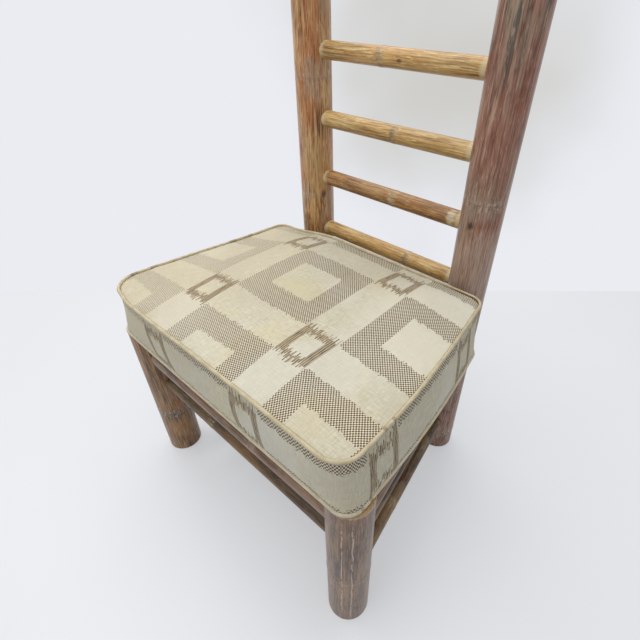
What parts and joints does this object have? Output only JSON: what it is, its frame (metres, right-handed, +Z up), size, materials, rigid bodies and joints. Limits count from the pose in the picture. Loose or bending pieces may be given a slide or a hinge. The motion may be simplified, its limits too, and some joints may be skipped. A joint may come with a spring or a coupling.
{
  "type": "ladderback chair",
  "caption": "Ladderback dining chair of round rattan poles, with coped rails, stretchers and rungs and a loose box cushion in a patterned weave.",
  "frame": {"origin": "on the floor, under the middle of the chair's outer box", "axes": "+Z up, front of the chair towards -Y, +X towards the right seen from the front"},
  "size_m": [0.583, 0.4774, 1.05],
  "materials": {
    "post_wood": "limed rattan pole, satin",
    "rail_wood": "limed rattan pole, satin",
    "stretcher_wood": "stained rattan pole, satin",
    "rung_wood": "golden rattan pole, satin",
    "bearer_wood": "planed softwood",
    "deck_plywood": "sanded plywood",
    "screw_steel": "zinc plated",
    "cushion_fabric": "woven cotton with a dotted square pattern",
    "welt_fabric": "woven cotton piping"
  },
  "bodies": {
    "frame": {"front_leg_left": "post_wood", "front_leg_right": "post_wood", "back_post_left": "post_wood", "back_post_right": "post_wood", "seat_rail_front": "rail_wood", "seat_rail_back": "rail_wood", "seat_rail_left": "rail_wood", "seat_rail_right": "rail_wood", "front_stretcher": "stretcher_wood", "back_stretcher": "stretcher_wood", "middle_stretcher_left": "stretcher_wood", "middle_stretcher_right": "stretcher_wood", "lower_stretcher_left": "stretcher_wood", "lower_stretcher_right": "stretcher_wood", "ladder_rung_1": "rung_wood", "ladder_rung_2": "rung_wood", "ladder_rung_3": "rung_wood", "ladder_rung_4": "rung_wood", "ladder_rung_5": "rung_wood", "ladder_rung_6": "rung_wood", "seat_bearer_left": "bearer_wood", "seat_bearer_right": "bearer_wood", "seat_deck": "deck_plywood", "bearer_screws": "screw_steel", "deck_screws": "screw_steel"},
    "cushion": {"seat_cushion": "cushion_fabric", "cushion_welt_bottom": "welt_fabric", "cushion_welt_top": "welt_fabric"}
  },
  "joints": [
    {"name": "cushion_lift", "type": "slide", "parent": "frame", "child": "cushion", "axis": [0, 0, 1], "range_m": [0, 0.2]}
  ]
}
